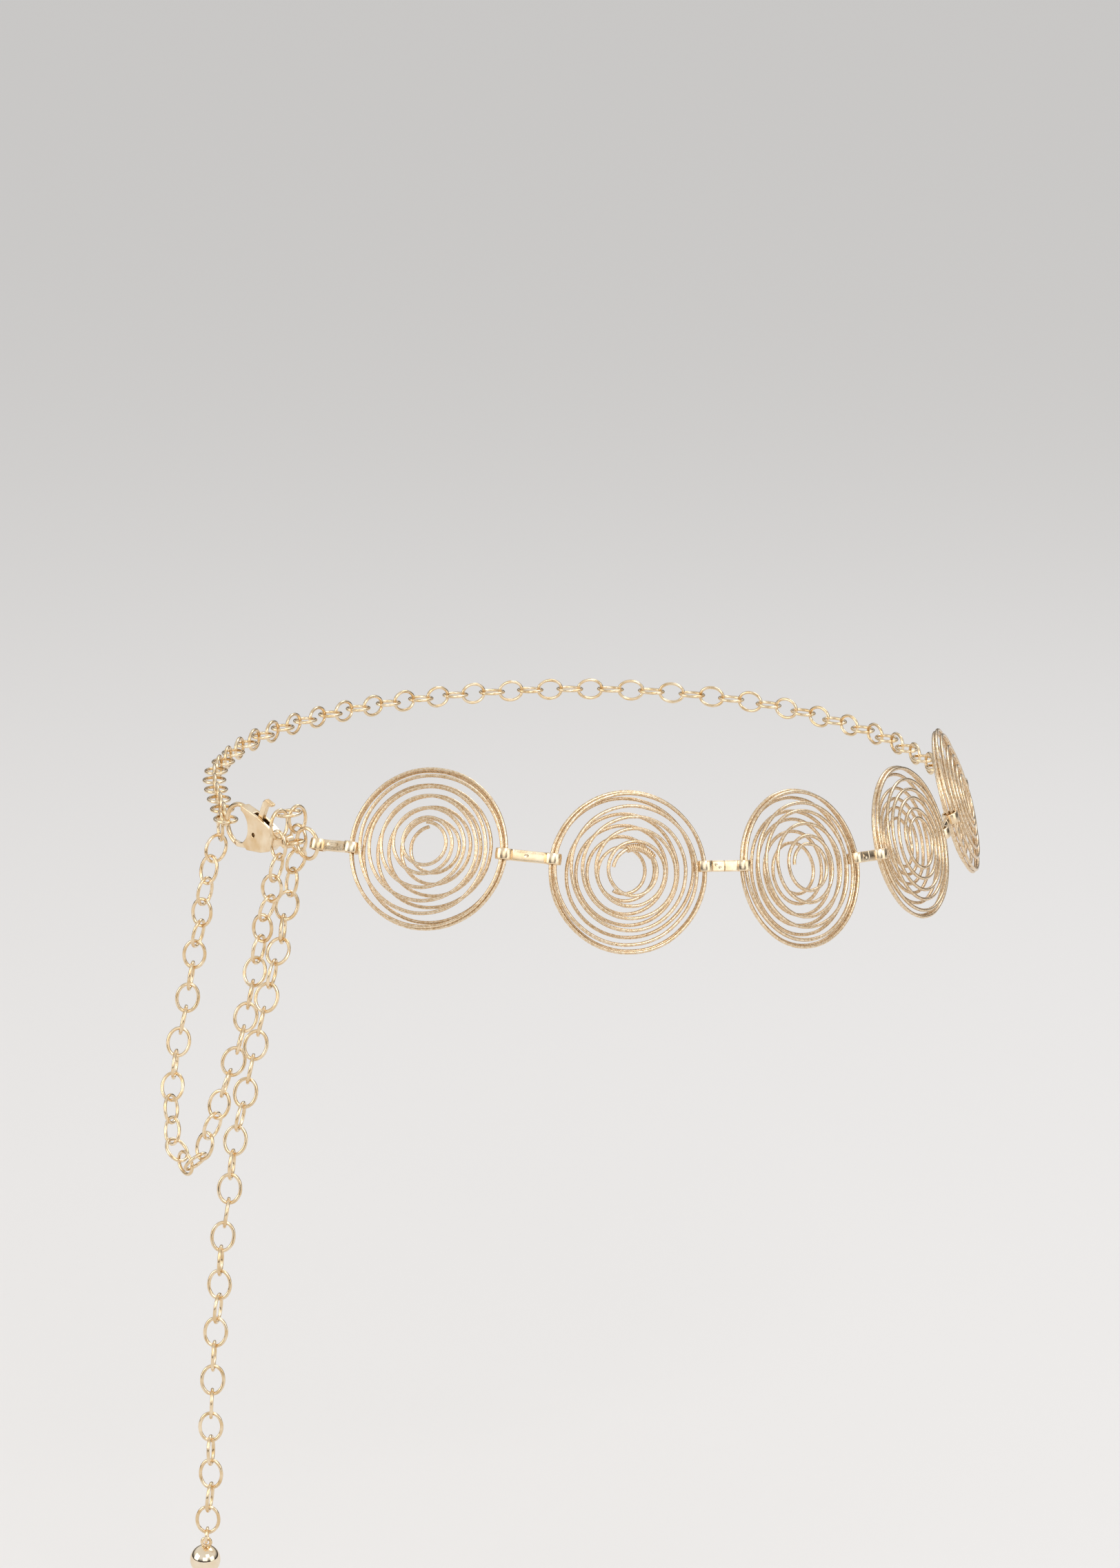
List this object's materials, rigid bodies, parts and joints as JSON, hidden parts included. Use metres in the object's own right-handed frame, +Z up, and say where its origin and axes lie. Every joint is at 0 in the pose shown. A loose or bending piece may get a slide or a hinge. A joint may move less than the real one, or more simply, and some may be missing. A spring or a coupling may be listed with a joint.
{
  "type": "waist chain",
  "caption": "Waist chain of wire-nest medallions on flat straps, with a link chain round the back, a lobster clasp and a long hanging end with a ball.",
  "frame": {"origin": "centre of the waist loop, at the height of the medallions' middle", "axes": "+Z up along the wearer's body, -Y towards the front, -X towards the wearer's right side"},
  "size_m": [0.3024, 0.2299, 0.2339],
  "materials": {
    "nest_wire": "gold-tone plated round wire, lightly scratched",
    "strap": "gold-tone plated sheet, polished",
    "link": "gold-tone plated round wire, polished",
    "clasp": "gold-tone plated casting, polished",
    "ball": "gold-tone plated ball, mirror polished"
  },
  "bodies": {
    "chain": {"disc_1": "nest_wire", "disc_2": "nest_wire", "disc_3": "nest_wire", "disc_4": "nest_wire", "disc_5": "nest_wire", "strap_1": "strap", "strap_2": "strap", "strap_3": "strap", "strap_4": "strap", "strap_5": "strap", "strap_6": "strap", "end_link": "link", "clasp_ring": "link", "clasp_body": "clasp", "clasp_pin": "clasp", "back_chain": "link", "tail_chain": "link", "ball_ring": "link", "ball": "ball"},
    "lever": {"clasp_lever": "clasp"}
  },
  "joints": [
    {"name": "lever_turn", "type": "hinge", "parent": "chain", "child": "lever", "pos_m": [-0.12073, 0.0562, 0.00702], "axis": [0.9063, -0.4226, 0], "range_deg": [0, 20], "stiffness_Nm_per_rad": 0.002, "springref_deg": -8.59}
  ]
}
